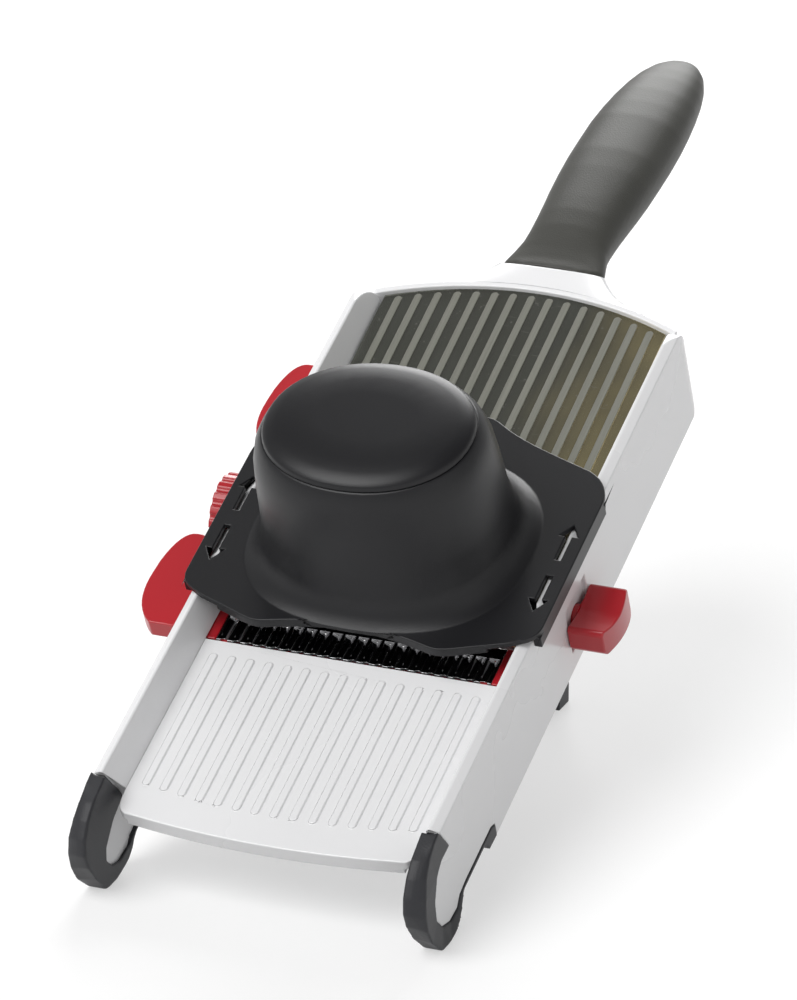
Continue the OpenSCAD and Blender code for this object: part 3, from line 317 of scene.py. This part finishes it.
def finishes(colors):
    """The finishes by their short names: made at first, and again when a colour has changed."""
    chosen = {name: tuple(getattr(colors, name)) for name in colors.__annotations__}
    if KIT.get("chosen") != chosen:
        KIT.update(
            chosen=chosen,
            white=moulded("gloss_white_plastic", colors.white, roughness=0.27,
                          grain=900, grain_depth=0.02 * MM, coat=0.2),
            grey=moulded("grey_plastic", colors.grey, roughness=0.45,
                         grain=1500, grain_depth=0.04 * MM),
            black=moulded("black_guard_plastic", colors.black, roughness=0.38,
                          grain=2200, grain_depth=0.04 * MM, specular=0.35),
            red=moulded("red_plastic", colors.red, roughness=0.3,
                        grain=900, grain_depth=0.01 * MM, coat=0.15),
            rubber=rubber("black_rubber", colors.rubber, roughness=0.52),
            grip=rubber("grip_rubber", colors.grip, roughness=0.5),
            plate=ramp_steel(colors.sheet, colors.painted_reflection),
            steel=brushed("bright_steel", colors.steel, roughness=0.2),
            blade=brushed("blade_steel", colors.blade, roughness=0.12),
        )
    return KIT


# ---- shapes ------------------------------------------------------------------


def hand_over(piece, node, finish):
    """The piece stands for a CAD node, rides with its body and takes its finish."""
    piece.data.materials.clear()
    piece.data.materials.append(finish)
    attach(piece, BODY_OF[node])
    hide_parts(node)
    return piece


def copied(node):
    """An object with a clean copy of a CAD node's mesh: whole flat faces, smooth shading."""
    mesh = frame["nodes"][node].data.copy()
    mesh.materials.clear()
    shape = bmesh.new()
    shape.from_mesh(mesh)
    bmesh.ops.remove_doubles(shape, verts=shape.verts, dist=WELD)
    bmesh.ops.dissolve_limit(shape, angle_limit=FLAT_ANGLE, verts=shape.verts, edges=shape.edges)
    for face in shape.faces:
        face.smooth = True
    shape.to_mesh(mesh)
    shape.free()
    if "custom_normal" in mesh.attributes:
        mesh.attributes.remove(mesh.attributes["custom_normal"])
    piece = bpy.data.objects.new(node + "_piece", mesh)
    bpy.context.scene.collection.objects.link(piece)
    return piece


def eased(node, finish, width, segments=2):
    """A CAD node's shape with its edges eased, as a mould or a deburring leaves them."""
    piece = copied(node)
    bevel = piece.modifiers.new("eased edges", "BEVEL")
    bevel.width = width
    bevel.segments = segments
    bevel.limit_method = "ANGLE"
    bevel.angle_limit = SHARP_ANGLE
    bevel.use_clamp_overlap = False
    bevel.harden_normals = True
    piece.modifiers.new("flat faces", "WEIGHTED_NORMAL").keep_sharp = True
    return hand_over(piece, node, finish)


def softened(node, finish, cell, passes):
    """A CAD node's shape as a soft moulding: one even skin whose edges are rounded over."""
    piece = copied(node)
    skin = piece.modifiers.new("one skin", "REMESH")
    skin.mode = "VOXEL"
    skin.voxel_size = cell
    skin.use_smooth_shade = True
    soft = piece.modifiers.new("rounded over", "SMOOTH")
    soft.factor = 0.5
    soft.iterations = passes
    return hand_over(piece, node, finish)


# ---- what a user may change --------------------------------------------------


def length(name, description, default, low, high):
    """A length to choose, from millimetres."""
    return FloatProperty(name=name, description=description, default=default * MM,
                         min=low * MM, max=high * MM, precision=5, unit="LENGTH")


def tint(name, description, default):
    """A colour to choose, from plain linear light."""
    return FloatVectorProperty(name=name, description=description, default=default,
                               min=0.0, max=1.0, subtype="COLOR")


def angle(name, description, degrees):
    """An angle to choose, from degrees."""
    return FloatProperty(name=name, description=description, default=math.radians(degrees),
                         subtype="ANGLE", unit="ROTATION")


class MandolineEdges(bpy.types.PropertyGroup):
    """How far the edges of each kind of piece are rounded."""

    moulded: length("Moulded", "Edge radius of the hard plastic pieces", 0.4, 0.1, 0.8)
    fine: length("Fine", "Edge radius of small or thin pieces", 0.15, 0.05, 0.3)
    boot_cell: length("Boot cell", "Size of the mesh cells on the toe boots", 0.45, 0.3, 1.0)
    grip_cell: length("Grip cell", "Size of the mesh cells on the grip", 0.8, 0.3, 1.5)
    passes: IntProperty(name="Passes", description="Smoothing passes on the boots and the grip",
                        default=8, min=0, max=30)


class MandolineColors(bpy.types.PropertyGroup):
    """The colours of the finishes."""

    white: tint("White", "Gloss plastic of the board and the yoke", (0.82, 0.82, 0.828))
    grey: tint("Grey", "Plastic of the pieces under the board", (0.42, 0.42, 0.43))
    black: tint("Black", "Plastic of the guard", (0.0085, 0.0085, 0.0100))
    red: tint("Red", "Plastic of the dial, the lever and the cartridges", (0.44, 0.012, 0.020))
    rubber: tint("Rubber", "Toe boots and the stand's foot", (0.015, 0.0155, 0.019))
    grip: tint("Grip", "Rubber of the grip", (0.040, 0.040, 0.034))
    sheet: tint("Sheet", "Polished sheet of the ramp", (0.33, 0.34, 0.30))
    # painted reflection: the sheet's warmer, brighter colour towards the ramp's right
    painted_reflection: tint("Warm sheet", "Warm tint on the ramp's right", (0.76, 0.66, 0.38))
    steel: tint("Steel", "Pins, screws, rods and the spring", (0.6, 0.6, 0.59))
    blade: tint("Blade", "Blades and strip teeth", (0.5, 0.5, 0.51))


class MandolineStage(bpy.types.PropertyGroup):
    """The studio."""

    key_power: FloatProperty(name="Key power", default=2.2, min=0.0,
                             description="Strength of the broad light from the front left")
    rim_power: FloatProperty(name="Rim power", default=44.0, min=0.0, subtype="POWER",
                             unit="POWER", description="Power of the panel behind and above")
    fill_power: FloatProperty(name="Fill power", default=2.0, min=0.0, subtype="POWER",
                              unit="POWER", description="Power of the panel at the front right")
    overhead: FloatProperty(name="Overhead", default=0.16, min=0.0, max=1.0,
                            description="Brightness of the studio straight above")
    horizon: FloatProperty(name="Horizon", default=0.62, min=0.0, max=1.0,
                           description="Brightness of the studio at the sides")
    azimuth: angle("Azimuth", "Where the camera stands round the object", 22.576)
    elevation: angle("Elevation", "How high the camera stands", 21.717)


def choices(context):
    """The edge sizes and the finishes, as they are chosen now."""
    return context.scene.mandoline_edges, finishes(context.scene.mandoline_colors)


# ---- one operator for each group of pieces -----------------------------------


class MANDOLINE_OT_frame(bpy.types.Operator):
    """Dresses the side panels, the landing, the yoke and the cross members."""

    bl_idname = "mandoline.frame"
    bl_label = "Frame"

    def execute(self, context):
        edges, kit = choices(context)
        for node in ("left_side_panel", "right_side_panel", "landing_plate", "rear_yoke"):
            eased(node, kit["white"], edges.moulded)
        for node in ("blade_bed", "stand_brace"):
            eased(node, kit["grey"], edges.moulded)
        eased("frame_screws", kit["steel"], edges.fine)
        return {"FINISHED"}


class MANDOLINE_OT_boots(bpy.types.Operator):
    """Dresses the rubber toe boots."""

    bl_idname = "mandoline.boots"
    bl_label = "Boots"

    def execute(self, context):
        edges, kit = choices(context)
        for node in ("left_toe_boot", "right_toe_boot"):
            softened(node, kit["rubber"], edges.boot_cell, edges.passes)
        return {"FINISHED"}


class MANDOLINE_OT_ramp(bpy.types.Operator):
    """Dresses the steel ramp, its carrier and its hinge pin."""

    bl_idname = "mandoline.ramp"
    bl_label = "Ramp"

    def execute(self, context):
        edges, kit = choices(context)
        eased("ramp_plate", kit["plate"], edges.fine)
        eased("ramp_carrier", kit["grey"], edges.moulded)
        eased("ramp_hinge_pin", kit["steel"], edges.fine)
        return {"FINISHED"}


class MANDOLINE_OT_dial(bpy.types.Operator):
    """Dresses the thickness dial, its shaft and its cams."""

    bl_idname = "mandoline.dial"
    bl_label = "Dial"

    def execute(self, context):
        edges, kit = choices(context)
        eased("dial_knob", kit["red"], edges.moulded)
        eased("dial_shaft", kit["steel"], edges.fine)
        eased("lift_cams", kit["grey"], edges.fine)
        return {"FINISHED"}


class MANDOLINE_OT_cartridges(bpy.types.Operator):
    """Dresses both blade cartridges."""

    bl_idname = "mandoline.cartridges"
    bl_label = "Cartridges"

    def execute(self, context):
        edges, kit = choices(context)
        for node in ("blade_cartridge", "spare_cartridge"):
            eased(node, kit["red"], edges.moulded)
        for node in ("slicing_blade", "spare_blade"):
            eased(node, kit["blade"], edges.fine)
        return {"FINISHED"}


class MANDOLINE_OT_strips(bpy.types.Operator):
    """Dresses the strip teeth, their carriage, the lever and its crank."""

    bl_idname = "mandoline.strips"
    bl_label = "Strip teeth"

    def execute(self, context):
        edges, kit = choices(context)
        eased("strip_teeth", kit["blade"], edges.fine)
        eased("strip_carriage", kit["grey"], edges.moulded)
        eased("strip_lever", kit["red"], edges.moulded * LEVER_ROUNDING, segments=3)
        eased("lever_crank", kit["steel"], edges.fine)
        return {"FINISHED"}


class MANDOLINE_OT_guard(bpy.types.Operator):
    """Dresses the sliding guard and everything inside it."""

    bl_idname = "mandoline.guard"
    bl_label = "Guard"

    def execute(self, context):
        edges, kit = choices(context)
        for node in ("guard_body", "guard_cap"):
            eased(node, kit["black"], edges.moulded, segments=3)
        for node in ("guard_bridge", "pusher_foot"):
            eased(node, kit["black"], edges.moulded)
        for node in ("pusher_rod", "pusher_spikes", "rod_clip"):
            eased(node, kit["steel"], edges.fine)

        # the spring gets a mesh of its own
        spring = eased("pusher_spring", kit["steel"], edges.fine)
        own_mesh(spring)
        return {"FINISHED"}


class MANDOLINE_OT_handle(bpy.types.Operator):
    """Dresses the grip and its tang."""

    bl_idname = "mandoline.handle"
    bl_label = "Handle"

    def execute(self, context):
        edges, kit = choices(context)
        softened("grip_sleeve", kit["grip"], edges.grip_cell, edges.passes)
        eased("handle_tang", kit["steel"], edges.fine)
        return {"FINISHED"}


class MANDOLINE_OT_stand(bpy.types.Operator):
    """Dresses the folding stand."""

    bl_idname = "mandoline.stand"
    bl_label = "Stand"

    def execute(self, context):
        edges, kit = choices(context)
        eased("stand_leg", kit["grey"], edges.moulded)
        eased("stand_foot", kit["rubber"], edges.moulded)
        eased("stand_pins", kit["steel"], edges.fine)
        return {"FINISHED"}


# ---- studio ------------------------------------------------------------------


def studio_air(settings):
    """White where the camera looks, and a soft room in reflections: bright sides, dim ceiling."""
    world = bpy.data.worlds.new("studio")
    air = Plan(world)
    place = air.node("ShaderNodeTexCoord", output="Generated")
    height = air.node("ShaderNodeSeparateXYZ", inputs={0: place}, output="Z")
    room = air.node("ShaderNodeMapRange", {"interpolation_type": "SMOOTHSTEP"},
                    {"Value": height, "From Min": WALL_TOP, "From Max": CEILING,
                     "To Min": settings.horizon, "To Max": settings.overhead})
    white = air.seen_by("Is Camera Ray", "Is Transmission Ray")
    level = air.node("ShaderNodeMix", inputs={"Factor": white, "A": room, "B": 1.0})
    air.feed(air.tree.nodes["Background"], {"Strength": level, "Color": (1, 1, 1, 1)})
    return world


def paper_floor():
    """A pale floor that meets the white background without a line, and keeps its shadows."""
    bpy.ops.mesh.primitive_plane_add(size=FLOOR_SIZE)
    floor = bpy.context.object
    floor.name = "floor"
    material = bpy.data.materials.new("paper")
    paper = Plan(material)
    matt = paper.tree.nodes["Principled BSDF"]
    paper.feed(matt, {"Base Color": (PAPER, PAPER, PAPER, 1), "Roughness": PAPER_ROUGHNESS,
                      "Specular IOR Level": 0.0})
    white = paper.seen_by("Is Camera Ray", "Is Glossy Ray")
    glow = paper.node("ShaderNodeEmission", inputs={"Strength": white * PAPER_GLOW})
    lit = paper.node("ShaderNodeAddShader", inputs={0: Signal(paper, matt.outputs[0]), 1: glow})
    paper.feed(paper.tree.nodes["Material Output"], {"Surface": lit})
    floor.data.materials.append(material)


def lamp(name, kind, spot, aim, power, width):
    """A lamp at spot, aimed at a point: width is metres for an area and radians for a sun."""
    light = bpy.data.lights.new(name, kind)
    light.energy = power
    setattr(light, "angle" if kind == "SUN" else "size", width)
    holder = bpy.data.objects.new(name, light)
    bpy.context.scene.collection.objects.link(holder)
    holder.location = spot
    holder.rotation_euler = (Vector(aim) - Vector(spot)).to_track_quat("-Z", "Y").to_euler()


def make_camera(turn, rise):
    """The camera, at a turn round its aim from the front and a rise from level."""
    camera = bpy.data.objects.new("camera", bpy.data.cameras.new("camera"))
    bpy.context.scene.collection.objects.link(camera)
    back = Vector((math.sin(turn) * math.cos(rise), -math.cos(turn) * math.cos(rise),
                   math.sin(rise)))
    camera.location = CAMERA_AIM + back * CAMERA_DISTANCE
    camera.rotation_euler = (-back).to_track_quat("-Z", "Y").to_euler()
    camera.data.lens = CAMERA_LENS
    camera.data.sensor_width = CAMERA_SENSOR
    camera.data.clip_end = CAMERA_REACH
    return camera


class MANDOLINE_OT_stage(bpy.types.Operator):
    """Makes the floor, the backdrop, the lamps and the camera."""

    bl_idname = "mandoline.stage"
    bl_label = "Stage"

    def execute(self, context):
        scene = context.scene
        settings = scene.mandoline_stage
        scene.view_settings.view_transform = "Standard"
        scene.world = studio_air(settings)
        paper_floor()
        lamp("key", "SUN", spot=(-0.4, -0.7, 0.95), aim=(0, 0, 0),
             power=settings.key_power, width=KEY_SPREAD)
        lamp("rim", "AREA", spot=(-0.5, 2.0, 1.45), aim=(0, 0, 0.15),
             power=settings.rim_power, width=PANEL_SIZE)
        lamp("fill", "AREA", spot=(1.6, -1.0, 0.8), aim=(0, 0, 0.1),
             power=settings.fill_power, width=PANEL_SIZE)
        scene.camera = make_camera(settings.azimuth, settings.elevation)
        return {"FINISHED"}


STEPS = (MANDOLINE_OT_stage, MANDOLINE_OT_frame, MANDOLINE_OT_boots, MANDOLINE_OT_ramp,
         MANDOLINE_OT_dial, MANDOLINE_OT_cartridges, MANDOLINE_OT_strips, MANDOLINE_OT_guard,
         MANDOLINE_OT_handle, MANDOLINE_OT_stand)


# ---- panel and registration --------------------------------------------------


class MANDOLINE_PT_panel(bpy.types.Panel):
    """Lists the settings and the steps in the sidebar."""

    bl_label = "Mandoline"
    bl_space_type = "VIEW_3D"
    bl_region_type = "UI"
    bl_category = "Mandoline"

    def draw(self, context):
        scene = context.scene
        for group in (scene.mandoline_stage, scene.mandoline_edges, scene.mandoline_colors):
            for key in group.__annotations__:
                self.layout.prop(group, key)
        for step in STEPS:
            self.layout.operator(step.bl_idname)


CLASSES = (MandolineEdges, MandolineColors, MandolineStage, *STEPS, MANDOLINE_PT_panel)


def register():
    for cls in CLASSES:
        bpy.utils.register_class(cls)
    bpy.types.Scene.mandoline_edges = PointerProperty(type=MandolineEdges)
    bpy.types.Scene.mandoline_colors = PointerProperty(type=MandolineColors)
    bpy.types.Scene.mandoline_stage = PointerProperty(type=MandolineStage)


def unregister():
    del bpy.types.Scene.mandoline_stage
    del bpy.types.Scene.mandoline_colors
    del bpy.types.Scene.mandoline_edges
    for cls in reversed(CLASSES):
        bpy.utils.unregister_class(cls)


def main():
    register()
    for step in STEPS:
        getattr(bpy.ops.mandoline, step.bl_idname.split(".")[1])()


if __name__ == "__main__":
    main()
